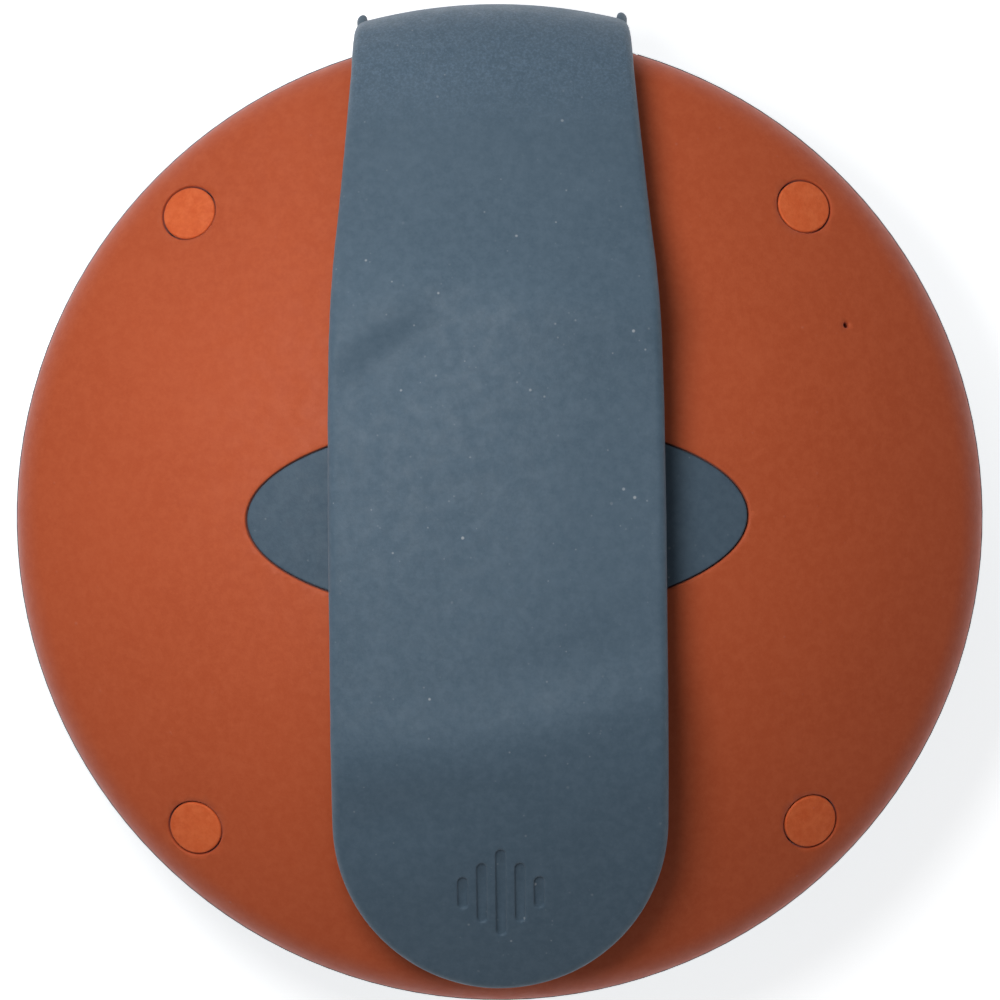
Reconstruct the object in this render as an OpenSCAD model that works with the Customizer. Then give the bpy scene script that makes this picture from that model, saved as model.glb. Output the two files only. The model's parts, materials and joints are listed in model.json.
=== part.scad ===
// Round portable speaker with a domed back and a sprung clip strap.
// The origin is on the body's axis, in the plane that the front ring rests on.
// +Z points out of the domed back and +Y towards the root of the strap.

/* [Body] */
// Radius of the rear skin at its widest
rim_r = 82.5; // [82.3:0.1:83]
// Height of the widest plane above the rest plane
rim_z = 30; // [29.8:0.1:30.5]
// Height of the middle of the domed back
crown_z = 55.5; // [55.3:0.1:55.8]
// Radius of the round edge between the dome and the rim
dome_fillet = 8; // [7.6:0.1:8.1]
// Thickness of the silicone skin over the rear housing
skin_t = 2.2; // [2:0.1:2.4]
// Wall thickness of both housings
shell_t = 2.5; // [2.3:0.1:2.6]

/* [Front] */
// Radius of the curved side wall between the rim and the rest plane
bowl_r = 40; // [39:0.5:41]
// How far the front skin stands outside the rear skin
skin_step = 0.3; // [0.2:0.05:0.4]
// Thickness of the front skin
bumper_t = 2; // [1.8:0.1:2.2]
// Radius of the grille opening
grille_r = 64; // [63:0.5:64.5]
// Diameter of one hole in the grille
grille_hole_d = 3.4; // [2.4:0.1:3.8]
// Distance between the rings of grille holes
grille_pitch = 5.2; // [5:0.1:5.3]

/* [Plugs, pad and microphone] */
// Distance of the screw plugs from the axis
plug_ring_r = 73.5; // [73:0.1:74]
// Diameter of a screw plug
plug_d = 9.3; // [8.8:0.1:9.6]
// Half the length of the oval pad
pad_half_x = 42.2; // [38:0.2:43]
// Half the width of the oval pad
pad_half_y = 16.5; // [14:0.1:18]
// Distance of the microphone hole from the axis
mic_reach = 67; // [64:0.1:67]
// Direction of the microphone hole, from +X towards +Y
mic_turn = 28.5; // [27:0.5:31]
// Diameter of the microphone hole
mic_hole_d = 1; // [0.8:0.1:1.4]

/* [Clip strap] */
// Thickness of the strap
strap_t = 3.6; // [3.4:0.1:3.8]
// Width of the strap over its lower half
strap_w = 56; // [54:0.5:57]
// Width of the strap at its root
strap_root_w = 46; // [44:0.5:47]
// Distance of the round tip from the axis
strap_tip = 79.6; // [78:0.2:80]
// Width of the spring strip inside the strap
spring_w = 34; // [28:1:38]
// Thickness of the spring strip
spring_t = 0.8; // [0.6:0.1:1]

/* [Buttons and port] */
// Diameter of a button cap
button_d = 8.4; // [7.6:0.1:8.6]
// Angle between neighbouring buttons
button_step = 9; // [8.8:0.1:9.4]
// How far the button axes point down from level
button_drop = 22; // [21:0.5:22]
// Direction of the port door, from +X towards +Y
port_turn = -32; // [-32.5:0.5:-31.5]

/* [Sound] */
// Distance of each driver from the axis
driver_x = 47; // [46.8:0.1:47.2]
// Distance of each passive radiator from the axis
radiator_y = 44; // [43.8:0.1:44.2]
// Radius of the battery cells
cell_r = 9.2; // [9:0.1:9.2]
// Length of the battery cells
cell_l = 65; // [64:0.5:65]

/* [Hidden] */
$fn = 96;

orange = "#b8532e";
plug_orange = "#c25a33";
slate = "#586a76";
slate_dark = "#46545f";
black = "#25282b";
steel = "#a9adb0";

// Clearance between parts that are glued or clamped together
seat = 0.05;
// Clearance round a screw and round a moving cap
screw_gap = 0.05;
cap_gap = 0.3;
far = 200;

// Rear dome: a sphere that meets the round rim edge in a tangent
dome_h = crown_z - rim_z;
fillet_ring = rim_r - dome_fillet;
dome_r = (pow(fillet_ring, 2) + pow(dome_h, 2) - pow(dome_fillet, 2)) / (2 * (dome_h - dome_fillet));
dome_edge = asin(fillet_ring / (dome_r - dome_fillet));
rear_base = rim_z - 1;
housing_in = skin_t + seat;

// Front bowl: its side wall is an arc about a ring of radius bowl_c at height bowl_z
bowl_z = rear_base - 0.4;
bowl_c = rim_r + skin_step - bowl_r;
bowl_in = bumper_t + seat;
baffle_z = 8;
baffle_t = 3;
baffle_top = baffle_z + baffle_t;
seat_z = bumper_t + 0.4;
gasket_outer = 79.7;
gasket_inner = 78.9;
gasket_h = 0.8;
groove_gap = 0.02;
groove_z = bowl_z - gasket_h - groove_gap;
boss_r = 4;
post_r = 3;
boss_ring = 71.5;
case_screw_r = 1.5;
case_screw_z = 33;
case_screw_l = 20;
small_screw_r = 1.25;
small_head_r = 2.3;
small_head_h = 1.4;
small_screw_l = 9;
case_head_r = 2.8;
case_head_h = 1.8;
board_z = 38.2;
board_t = 1.6;
board_w = 62;
board_l = 68;
post_x = 27;
post_y = 30;

// Clip strap: the run of its middle plane as arcs of [length, turn], from the root upwards
strap_run = [[26, 41], [1, 2], [15.6, 64], [42, 8], [8, 14], [68, 9], [9, 18], [41, 10]];
strap_start = [76.2, 6.9];
strap_heading = 47;
strap_steps = 8;
hinge_arc = 3;
hinge_gap = 0.3;
strap_half = strap_w / 2;
strap_tail_y = strap_half - strap_tip;
taper_y = 5;
taper_run = 82;
taper_in = (strap_w - strap_root_w) / 2;
taper_r = (pow(taper_run, 2) + pow(taper_in, 2)) / (2 * taper_in);
window_half = strap_root_w / 2 + 1.5;
window_z = 4.5;
ear_t = 1.6;
ear_out = 0.9;
anchor_x = 10;
anchor_z = 14;
anchor_face = 71;

// Drivers and radiators
frame_r = 26;
frame_hole = 23.7;
ear_ring = 27.5;
plate_z = 23.55;
magnet_z = 26.55;
yoke_z = 33.05;
yoke_r = 15;
pole_r = 6;
coil_in = 6.45;
coil_former = 6.75;
coil_out = 7.35;
driver_hole = 24;
radiator_hole = 21.6;
radiator_r = 23;
plate_r = 17.4;
roll_t = 0.5;
cell_x = 9.4;
cell_z = 26;

// Port: a flat plate behind a recess, in a frame turned to port_turn
port_face = 75;
port_half = 11;
port_low = 12.4;
port_high = 22;
door_gap = 0.25;
recess_inset = 0.2;
usb_y = 4;
usb_z = 15.65;
usb_w = 9;
usb_h = 3.3;
aux_y = -6.4;
aux_z = 17;
aux_r = 3;
aux_bore = 1.8;

// ---------- shared shapes ----------

// Region under the dome, inset from the outer surface, down to the height base
module dome_profile(inset, base) {
    intersection() {
        translate([0, base])
            square([rim_r, crown_z]);
        union() {
            translate([0, base])
                square([rim_r - inset, rim_z - base]);
            translate([fillet_ring, rim_z])
                circle(dome_fillet - inset, $fn = 96);
            intersection() {
                translate([0, crown_z - dome_r])
                    circle(dome_r - inset, $fn = 240);
                translate([0, crown_z - dome_r])
                    polygon([[0, 0], far * 2 * [sin(dome_edge), cos(dome_edge)], [0, far * 2]]);
            }
        }
    }
}

// Region inside the front bowl, inset from the outer surface, between two heights
module bowl_profile(inset, low, high) {
    intersection() {
        translate([0, low])
            square([far, high - low]);
        union() {
            translate([0, -far])
                square([bowl_c, 2 * far]);
            translate([bowl_c, bowl_z])
                circle(bowl_r - inset, $fn = 192);
        }
    }
}

module bowl_solid(inset, low, high) {
    rotate_extrude($fn = 180)
        bowl_profile(inset, low, high);
}

module ring(outer, inner, low, high) {
    translate([0, 0, low])
        difference() {
            cylinder(r = outer, h = high - low);
            translate([0, 0, -1])
                cylinder(r = inner, h = high - low + 2);
        }
}

// A place on the dome's surface, with Z along the surface normal
module on_dome(reach, turn) {
    translate([0, 0, crown_z - dome_r])
        rotate([0, asin(reach / dome_r), turn])
            translate([0, 0, dome_r])
                children();
}

// The bowl ring's centre at one direction, with Z along the side wall's normal
module on_bowl(turn, drop) {
    rotate([0, 0, turn])
        translate([bowl_c, 0, bowl_z])
            rotate([0, 90 + drop, 0])
                children();
}

module at_corners(x, y) {
    for (sx = [-1, 1], sy = [-1, 1])
        translate([sx * x, sy * y, 0])
            children();
}

module at_plugs() {
    for (turn = [45:90:315])
        on_dome(plug_ring_r, turn)
            children();
}

module at_bosses() {
    for (turn = [45:90:315])
        rotate([0, 0, turn])
            translate([boss_ring, 0, 0])
                children();
}

module pan_screw(head_r, head_h, shank_r, shank_l) {
    difference() {
        union() {
            cylinder(r = head_r, h = head_h, $fn = 32);
            translate([0, 0, -shank_l])
                cylinder(r = shank_r, h = shank_l + 0.2, $fn = 32);
        }
        translate([0, 0, head_h - 0.8])
            cylinder(r = head_r * 0.45, h = 1, $fn = 6);
    }
}

// ---------- clip strap shapes ----------

function chord(run, turn) = turn == 0 ? run : run * sin(turn / 2) * 360 / (PI * turn);

strap_moves = [for (arc = strap_run) for (i = [1:strap_steps]) arc / strap_steps];

function walk(i, at, heading) =
    i == len(strap_moves) ? [[at, heading]]
    : let (run = strap_moves[i][0], turn = strap_moves[i][1], aim = heading + turn / 2)
        concat([[at, heading]],
            walk(i + 1, at + chord(run, turn) * [cos(aim), sin(aim)], heading + turn));

strap_path = walk(0, strap_start, strap_heading);
hinge_i = hinge_arc * strap_steps;
tip_i = len(strap_path) - 1;

function strap_point(i, out) = strap_path[i][0] + out * [sin(strap_path[i][1]), -cos(strap_path[i][1])];

// Section of the strap between two stations, as a band between two distances from its middle plane
module strap_band(from, to, low, high) {
    polygon(concat(
        [for (i = [from:to]) strap_point(i, low)],
        [for (i = [to:-1:from]) strap_point(i, high)]));
}

module across_x(width) {
    rotate([90, 0, 90])
        linear_extrude(width, center = true)
            children();
}

module strap_outline() {
    translate([0, strap_tail_y])
        circle(strap_half, $fn = 128);
    translate([-strap_half, strap_tail_y])
        square([strap_w, taper_y - strap_tail_y]);
    intersection() {
        translate([-strap_half, taper_y - 1])
            square([strap_w, far]);
        translate([strap_half - taper_r, taper_y])
            circle(taper_r, $fn = 240);
        translate([taper_r - strap_half, taper_y])
            circle(taper_r, $fn = 240);
    }
}

module spring_pocket(from, to) {
    across_x(spring_w + 2 * seat)
        strap_band(from, to, -spring_t / 2 - seat, spring_t / 2 + seat);
}

// ---------- rear half ----------

module pad_outline(gap) {
    polygon([for (a = [0:5:355]) [(pad_half_x - gap) * cos(a), (pad_half_y - gap) * sin(a)]]);
}

module rear_skin() {
    color(orange)
        difference() {
            rotate_extrude($fn = 180)
                difference() {
                    dome_profile(0, rear_base);
                    dome_profile(skin_t, rear_base - 1);
                }
            linear_extrude(far)
                pad_outline(0);
            at_plugs()
                cylinder(d = plug_d, h = 12, center = true, $fn = 48);
            on_dome(mic_reach, mic_turn)
                cylinder(d = mic_hole_d, h = 12, center = true, $fn = 24);
        }
}

module rear_housing() {
    plug_seat = 4.4;
    head_room = 3;
    color(black)
        difference() {
            union() {
                rotate_extrude($fn = 180)
                    difference() {
                        dome_profile(housing_in, bowl_z + seat);
                        dome_profile(housing_in + shell_t, bowl_z - 1);
                    }
                intersection() {
                    at_bosses()
                        translate([0, 0, bowl_z + seat])
                            cylinder(r = boss_r, h = 20, $fn = 48);
                    rotate_extrude($fn = 180)
                        dome_profile(housing_in + 1, bowl_z + seat);
                }
            }
            at_bosses()
                cylinder(r = case_screw_r + screw_gap, h = 60, $fn = 32);
            at_bosses()
                translate([0, 0, case_screw_z])
                    cylinder(r = head_room, h = 20, $fn = 32);
            at_plugs()
                translate([0, 0, -plug_seat])
                    cylinder(d = plug_d - 2.3, h = 12, $fn = 32);
            on_dome(mic_reach, mic_turn)
                cylinder(d = mic_hole_d, h = 20, center = true, $fn = 24);
        }
}

module center_pad() {
    color(slate)
        intersection() {
            rotate_extrude($fn = 180)
                difference() {
                    dome_profile(0, rear_base);
                    dome_profile(skin_t, rear_base - 1);
                }
            linear_extrude(far)
                pad_outline(0.2);
        }
}

module screw_plugs() {
    stem_l = 1.2;
    color(plug_orange)
        at_plugs() {
            translate([0, 0, -skin_t])
                cylinder(d = plug_d - 0.4, h = skin_t - 0.1, $fn = 48);
            translate([0, 0, -skin_t - stem_l])
                cylinder(d = plug_d - 3.6, h = stem_l + 0.5, $fn = 32);
        }
}

module case_screws() {
    color(steel)
        at_bosses()
            translate([0, 0, case_screw_z])
                pan_screw(case_head_r, case_head_h, case_screw_r, case_screw_l);
}

module case_gasket() {
    color(black)
        ring(gasket_outer, gasket_inner, bowl_z - gasket_h, bowl_z);
}

// ---------- front half ----------

module window_box(gap) {
    translate([-window_half + gap, 0, window_z + gap])
        cube([2 * (window_half - gap), far, far]);
}

module port_box(gap, from) {
    rotate([0, 0, port_turn])
        translate([from, -port_half + gap, port_low + gap])
            cube([far, 2 * (port_half - gap), port_high - port_low - 2 * gap]);
}

module button_holes(depth, d) {
    for (i = [-2:2])
        on_bowl(270 + i * button_step, button_drop)
            translate([0, 0, depth])
                cylinder(d = d, h = far, $fn = 48);
}

module front_skin_shell() {
    difference() {
        bowl_solid(0, 0, bowl_z);
        bowl_solid(bumper_t, bumper_t, bowl_z + 1);
        translate([0, 0, -1])
            cylinder(r = grille_r, h = 10, $fn = 180);
    }
}

module front_skin() {
    color(slate)
        difference() {
            front_skin_shell();
            window_box(0);
            port_box(0, 60);
            button_holes(30, button_d + 2 * cap_gap);
        }
}

module front_housing() {
    inner = bowl_in + shell_t;
    foot = baffle_top - 1;
    anchor_block = [32, 20, 8];
    port_block = [20, 26, 12.6];
    flex_in = 26.2;
    flex_wall = [1.7, 8];
    flex_foot = 5;
    color(black)
        difference() {
            union() {
                difference() {
                    bowl_solid(bowl_in, seat_z, bowl_z);
                    bowl_solid(inner, seat_z + 2, baffle_z);
                    bowl_solid(inner, baffle_top, bowl_z + 1);
                    cylinder(r = grille_r - 3, h = baffle_z);
                }
                intersection() {
                    bowl_solid(bowl_in + 1, seat_z, 60);
                    union() {
                        at_bosses()
                            translate([0, 0, foot])
                                cylinder(r = boss_r, h = bowl_z - foot, $fn = 48);
                        at_corners(post_x, post_y)
                            translate([0, 0, foot])
                                cylinder(r = post_r, h = board_z - seat - foot, $fn = 40);
                        translate([-anchor_block[0] / 2, anchor_face, foot])
                            cube(anchor_block);
                        rotate([0, 0, port_turn])
                            translate([port_face - 2.5, -port_block[1] / 2, foot])
                                cube(port_block);
                        rotate([0, 0, port_turn])
                            translate([64, -5, foot])
                                cylinder(r = 2, h = 2.3, $fn = 32);
                        rotate([0, 0, flex_turn])
                            rotate_extrude(angle = flex_span, $fn = 180)
                                translate([bowl_c, bowl_z])
                                    rotate([0, 0, -button_drop])
                                        translate([flex_in, -flex_wall[1] / 2])
                                            square(flex_wall);
                        for (turn = [flex_turn, flex_turn + flex_span - flex_foot])
                            rotate([0, 0, turn])
                                rotate_extrude(angle = flex_foot, $fn = 180)
                                    translate([65.4, foot])
                                        square([2, 6]);
                    }
                }
            }
            for (side = [-1, 1])
                translate([side * driver_x, 0, 0])
                    cylinder(r = driver_hole, h = baffle_top + 1);
            for (side = [-1, 1])
                translate([0, side * radiator_y, 0])
                    cylinder(r = radiator_hole, h = baffle_top + 1);
            for (side = [-1, 1])
                translate([side * driver_x, 0, 8.6])
                    driver_screw_places()
                        cylinder(r = small_screw_r + screw_gap, h = 4, $fn = 32);
            at_bosses()
                translate([0, 0, case_screw_z - case_screw_l - 0.4])
                    cylinder(r = case_screw_r + screw_gap, h = 30, $fn = 32);
            at_corners(post_x, post_y)
                translate([0, 0, 29])
                    cylinder(r = small_screw_r + screw_gap, h = 30, $fn = 32);
            for (side = [-1, 1])
                translate([side * anchor_x, 60, anchor_z])
                    rotate([-90, 0, 0])
                        cylinder(r = small_screw_r + screw_gap, h = 40, $fn = 32);
            ring(gasket_outer + groove_gap, gasket_inner - groove_gap, groove_z, bowl_z + 1);
            port_box(recess_inset, port_face);
            rotate([0, 0, port_turn])
                port_cutouts();
            button_holes(30, button_d + 2 * cap_gap);
        }
}

module port_cutouts() {
    gap = 0.1;
    cut_from = port_face - 8;
    translate([cut_from, usb_y - usb_w / 2 - gap, usb_z - usb_h / 2 - gap])
        cube([20, usb_w + 2 * gap, usb_h + 2 * gap]);
    translate([cut_from, aux_y, aux_z])
        rotate([0, 90, 0])
            cylinder(r = aux_r + gap, h = 20, $fn = 40);
}

module grille() {
    rings = floor((grille_r - 5) / grille_pitch);
    color(slate_dark)
        translate([0, 0, 1])
            linear_extrude(1)
                difference() {
                    circle(grille_r - 0.1, $fn = 180);
                    circle(d = grille_hole_d, $fn = 20);
                    for (k = [1:rings], i = [0:6 * k - 1])
                        rotate(i * 60 / k)
                            translate([k * grille_pitch, 0])
                                circle(d = grille_hole_d, $fn = 20);
                }
}

module grille_cloth() {
    color(black)
        translate([0, 0, 2.05])
            cylinder(r = 66, h = 0.3, $fn = 180);
}

// ---------- clip ----------

module strap_root() {
    color(slate)
        difference() {
            union() {
                intersection() {
                    front_skin_shell();
                    window_box(seat);
                }
                across_x(strap_root_w)
                    strap_band(0, hinge_i, -strap_t / 2, strap_t / 2);
                for (side = [-1, 1])
                    translate([side * (strap_root_w - ear_t) / 2, 0, 0])
                        across_x(ear_t)
                            strap_band(strap_steps - 3, hinge_i - 3, 0, strap_t / 2 + ear_out);
            }
            bowl_solid(bowl_in - seat, -1, bowl_z);
            spring_pocket(strap_steps, hinge_i + 1);
            for (side = [-1, 1])
                translate([side * anchor_x, 60, anchor_z])
                    rotate([-90, 0, 0])
                        cylinder(r = small_screw_r + screw_gap, h = 20.2, $fn = 32);
        }
}

module spring_strip(from, to) {
    across_x(spring_w)
        strap_band(from, to, -spring_t / 2, spring_t / 2);
}

module root_spring() {
    color(steel)
        difference() {
            spring_strip(strap_steps, hinge_i);
            bowl_solid(bowl_in - seat, -1, bowl_z);
        }
}

module anchor_screws() {
    color(steel)
        for (side = [-1, 1])
            translate([side * anchor_x, anchor_face - 0.1, anchor_z])
                rotate([90, 0, 0])
                    pan_screw(small_head_r, small_head_h, small_screw_r, small_screw_l);
}

// Space kept free behind the bend line, so that the strap can lift
module hinge_clearance() {
    at = strap_point(hinge_i, strap_t / 2);
    aim = strap_path[hinge_i][1];
    across_x(far)
        translate(at)
            rotate(aim)
                translate([-far, -far / 2])
                    square([far + hinge_gap, far]);
}

module clip_strap() {
    color(slate)
        difference() {
            intersection() {
                across_x(strap_w)
                    strap_band(hinge_i, tip_i, -strap_t / 2, strap_t / 2);
                linear_extrude(far)
                    strap_outline();
            }
            spring_pocket(hinge_i - 1, tip_i - 6);
            hinge_clearance();
        }
}

module clip_spring() {
    color(steel)
        difference() {
            spring_strip(hinge_i, tip_i - 7);
            hinge_clearance();
        }
}

// ---------- drivers ----------

module driver_screw_places() {
    for (turn = [45:90:315])
        rotate([0, 0, turn])
            translate([ear_ring, 0, 0])
                children();
}

module driver_frame(side) {
    foot = baffle_top + seat;
    lip = 12.5;
    back = plate_z - seat;
    color(black)
        translate([side * driver_x, 0, 0])
            difference() {
                union() {
                    rotate_extrude()
                        polygon([[frame_hole, foot], [frame_r, foot], [frame_r, lip], [24.9, lip],
                            [17.5, 22], [17.5, back], [11, back], [11, 22.2], [16.3, 22.2],
                            [frame_hole, 13.3]]);
                    driver_screw_places()
                        ring(3.3, small_screw_r + screw_gap, foot, lip - 0.1);
                }
                for (turn = [0:60:300])
                    rotate([0, 0, turn + 30])
                        translate([14, -4.5, 14.5])
                            cube([14, 9, 6.5]);
                driver_screw_places()
                    translate([0, 0, 10])
                        cylinder(r = small_screw_r + screw_gap, h = 4, $fn = 32);
            }
}

module top_plate(side) {
    color(steel)
        translate([side * driver_x, 0, 0])
            ring(yoke_r, 7.7, plate_z, magnet_z - seat);
}

module magnet(side) {
    color(black)
        translate([side * driver_x, 0, 0])
            ring(16.5, 9.5, magnet_z, yoke_z - seat);
}

module yoke(side) {
    color(steel)
        translate([side * driver_x, 0, 0]) {
            translate([0, 0, yoke_z])
                cylinder(r = yoke_r, h = 2.4);
            translate([0, 0, plate_z - seat])
                cylinder(r = pole_r, h = 10);
        }
}

module voice_coil(side) {
    low = 17.1;
    wire_low = 23.8;
    top = 27;
    color("#b0703a")
        translate([side * driver_x, 0, 0])
            rotate_extrude()
                polygon([[coil_in, low], [coil_former, low], [coil_former, wire_low], [coil_out, wire_low],
                    [coil_out, top], [coil_in, top]]);
}

// Corrugated disc that centres the voice coil
module spider(side) {
    waves = 4;
    inner = 6.85;
    outer = 18.3;
    points = 24;
    rise = 0.5;
    cloth_t = 0.4;
    radii = [for (i = [0:points]) inner + (outer - inner) * i / points];
    heights = [for (i = [0:points]) 19.4 + rise * sin(360 * waves * i / points)];
    color("#c9a24a")
        translate([side * driver_x, 0, 0])
            rotate_extrude()
                polygon(concat(
                    [for (i = [0:points]) [radii[i], heights[i]]],
                    [for (i = [points:-1:0]) [radii[i], heights[i] + cloth_t]]));
}

module cone(side) {
    color(black)
        translate([side * driver_x, 0, 0])
            rotate_extrude()
                polygon([[19.5, 12.3], [6.85, 18.1], [6.85, 18.7], [19.5, 12.9]]);
}

module dust_cap(side) {
    cap_r = 15.6;
    cap_t = 0.4;
    color(black)
        translate([side * driver_x, 0, 0])
            intersection() {
                translate([0, 0, 15 + cap_r])
                    difference() {
                        sphere(cap_r);
                        sphere(cap_r - cap_t);
                    }
                translate([0, 0, 14])
                    cylinder(r = 7.6, h = 3);
            }
}

// Half roll of rubber between a moving disc and its frame
module half_roll(inner, outer, z, t) {
    mid = (inner + outer) / 2;
    roll = (outer - inner) / 2;
    translate([mid, z])
        difference() {
            circle(roll, $fn = 48);
            circle(roll - t, $fn = 48);
            translate([-roll - 1, 0])
                square([2 * roll + 2, roll + 1]);
        }
}

module surround(side) {
    inner = 19.55;
    base = 12.6;
    color(slate_dark)
        translate([side * driver_x, 0, 0])
            rotate_extrude()
                half_roll(inner, frame_hole - seat, base, roll_t);
}

module driver_screws() {
    color(steel)
        for (side = [-1, 1])
            translate([side * driver_x, 0, 12.55])
                driver_screw_places()
                    pan_screw(2.2, small_head_h, small_screw_r, 3.8);
}

module radiator_surround(side) {
    lip_t = 0.6;
    color(slate_dark)
        translate([0, side * radiator_y, 0])
            rotate_extrude() {
                half_roll(plate_r + 0.1, radiator_hole - seat, baffle_top + seat, roll_t);
                translate([radiator_hole - lip_t, baffle_top + seat])
                    square([radiator_r - radiator_hole + lip_t, lip_t]);
            }
}

module radiator_plate(side) {
    plate_t = 1.2;
    color(steel)
        translate([0, side * radiator_y, 0]) {
            translate([0, 0, 10.8])
                cylinder(r = plate_r, h = plate_t);
            translate([0, 0, 10.7 + plate_t])
                cylinder(r = 8, h = plate_t);
        }
}

// ---------- power and electronics ----------

module battery_cell(side) {
    cap_r = 3;
    cap_h = 1;
    color("#3f7a52")
        translate([side * cell_x, -cell_l / 2, cell_z])
            rotate([-90, 0, 0]) {
                cylinder(r = cell_r, h = cell_l - cap_h);
                cylinder(r = cap_r, h = cell_l);
            }
}

module battery_tray() {
    tray_z = 15.5;
    tray_w = 38.8;
    tray_l = 69;
    wall_t = 1.2;
    leg_w = 4;
    window = [12, 40];
    color(black)
        difference() {
            union() {
                translate([-tray_w / 2, -tray_l / 2, tray_z])
                    cube([tray_w, tray_l, wall_t]);
                for (side = [-1, 1])
                    translate([-tray_w / 2, side * 33.8 - wall_t / 2, tray_z])
                        cube([tray_w, wall_t, 7]);
                at_corners(16.5, 13)
                    translate([-leg_w / 2, -leg_w / 2, baffle_top + seat])
                        cube([leg_w, leg_w, tray_z - baffle_top + 0.5]);
            }
            translate([-window[0] / 2, -window[1] / 2, tray_z - 1])
                cube([window[0], window[1], 4]);
        }
}

module main_board() {
    color("#1f5a3c")
        translate([0, 0, board_z])
            difference() {
                translate([-board_w / 2, -board_l / 2, 0])
                    cube([board_w, board_l, board_t]);
                at_corners(post_x, post_y)
                    translate([0, 0, -1])
                        cylinder(r = small_screw_r + screw_gap, h = 4, $fn = 32);
            }
}

module on_board(x, y) {
    translate([x, y, board_z + board_t + seat])
        children();
}

module radio_module() {
    color(steel)
        on_board(-22, 6)
            cube([15, 18, 2.4]);
}

module amplifier_chip() {
    color(black)
        on_board(2, -14)
            cube([10, 10, 1.4]);
}

module capacitors() {
    spacing = 9;
    color("#39424a")
        for (i = [0:3])
            on_board(-14 + i * spacing, -24)
                cylinder(d = 6.3, h = 5.4, $fn = 40);
}

module board_screws() {
    color(steel)
        at_corners(post_x, post_y)
            translate([0, 0, board_z + board_t + seat])
                pan_screw(small_head_r, small_head_h, small_screw_r, small_screw_l);
}

module port_board() {
    color("#1f5a3c")
        rotate([0, 0, port_turn])
            translate([61.6, -10.4, 12.35])
                cube([10.6, 19.6, 1.6]);
}

module usb_socket() {
    depth = 7.3;
    wall = 0.4;
    tongue_t = 0.8;
    mouth = 1.2;
    slot_h = (usb_h - tongue_t) / 2 - wall;
    color(steel)
        rotate([0, 0, port_turn])
            translate([port_face - depth, usb_y - usb_w / 2, usb_z - usb_h / 2])
                difference() {
                    cube([depth, usb_w, usb_h]);
                    translate([wall, wall, wall])
                        cube([depth, usb_w - 2 * wall, slot_h]);
                    translate([wall, wall, (usb_h + tongue_t) / 2])
                        cube([depth, usb_w - 2 * wall, slot_h]);
                    translate([depth - mouth, wall, wall])
                        cube([depth, usb_w - 2 * wall, usb_h - 2 * wall]);
                }
}

module aux_socket() {
    depth = 12;
    color(black)
        rotate([0, 0, port_turn])
            translate([port_face - depth, aux_y, aux_z])
                rotate([0, 90, 0])
                    difference() {
                        cylinder(r = aux_r, h = depth, $fn = 40);
                        translate([0, 0, 1])
                            cylinder(r = aux_bore, h = depth, $fn = 32);
                    }
}

// Rubber flap with a sealing rib that reaches into the port recess
module port_door() {
    rib_gap = 1.7;
    rib_in = 1.2;
    rib_reach = 1.5;
    color(slate)
        union() {
            intersection() {
                front_skin_shell();
                port_box(door_gap, 60);
            }
            intersection() {
                bowl_solid(bumper_t - 0.2, 0, bowl_z);
                port_box(rib_gap, 60);
                difference() {
                    bowl_solid(0, 0, bowl_z);
                    bowl_solid(bumper_t + rib_reach, 0, bowl_z + 1);
                    port_box(rib_gap + rib_in, 60);
                }
            }
        }
}

module microphone() {
    capsule_r = 3;
    capsule_h = 2;
    color(black)
        on_dome(mic_reach, mic_turn)
            translate([0, 0, -housing_in - shell_t - capsule_h - 0.1])
                cylinder(r = capsule_r, h = capsule_h, $fn = 40);
}

// ---------- buttons ----------

cap_top = bowl_r + 0.3;
flange_top = 34.8;
flange_t = 1;
flange_lip = 0.6;
plunger_r = 1.4;
switch_top = 31.9;
switch_base = 28.5;
switch_w = 6.2;
flex_turn = 247;
flex_span = 46;

module button(i) {
    color(slate_dark)
        on_bowl(270 + i * button_step, button_drop) {
            translate([0, 0, flange_top - flange_t])
                cylinder(d = button_d, h = cap_top - flange_top + flange_t, $fn = 48);
            translate([0, 0, flange_top - flange_t])
                cylinder(d = button_d + 2 * flange_lip, h = flange_t, $fn = 48);
            translate([0, 0, switch_top - 0.9])
                cylinder(r = plunger_r, h = flange_top - switch_top, $fn = 32);
        }
}

module button_flex() {
    flex_w = 7.2;
    color("#a8752c")
        rotate([0, 0, flex_turn])
            rotate_extrude(angle = flex_span, $fn = 180)
                translate([bowl_c, bowl_z])
                    rotate([0, 0, -button_drop])
                        translate([switch_base - 0.5, -flex_w / 2])
                            square([0.3, flex_w]);
}

module tact_switches() {
    color(black)
        for (i = [-2:2])
            on_bowl(270 + i * button_step, button_drop)
                difference() {
                    translate([-switch_w / 2, -switch_w / 2, switch_base])
                        cube([switch_w, switch_w, switch_top - switch_base]);
                    translate([0, 0, switch_base + 1])
                        cylinder(r = plunger_r + 0.2, h = 10, $fn = 32);
                }
}

// ---------- leads ----------

lead_r = 0.6;
driver_lead_x = 24.6;
driver_lead_y = 12.5;
battery_lead_y = 33.15;
port_lead = [[55, -32, 14.6], [29.8, -20.5, 37.6]];
mic_lead = [[55.4, 30.2, 35.6], [30.2, 20.2, 41]];

// A straight insulated wire between two points
module lead(from, to) {
    run = to - from;
    translate(from)
        rotate([0, acos(run[2] / norm(run)), atan2(run[1], run[0])])
            cylinder(r = lead_r, h = norm(run), $fn = 16);
}

module internal_leads() {
    under_board = board_z - seat;
    color("#a02c28") {
        at_corners(driver_lead_x, driver_lead_y)
            lead([0, 0, 12.6], [0, 0, under_board]);
        for (side = [-1, 1])
            lead([side * cell_x, battery_lead_y, 25], [side * cell_x, battery_lead_y, under_board]);
        lead(port_lead[0], port_lead[1]);
        lead(mic_lead[0], mic_lead[1]);
    }
}

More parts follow.
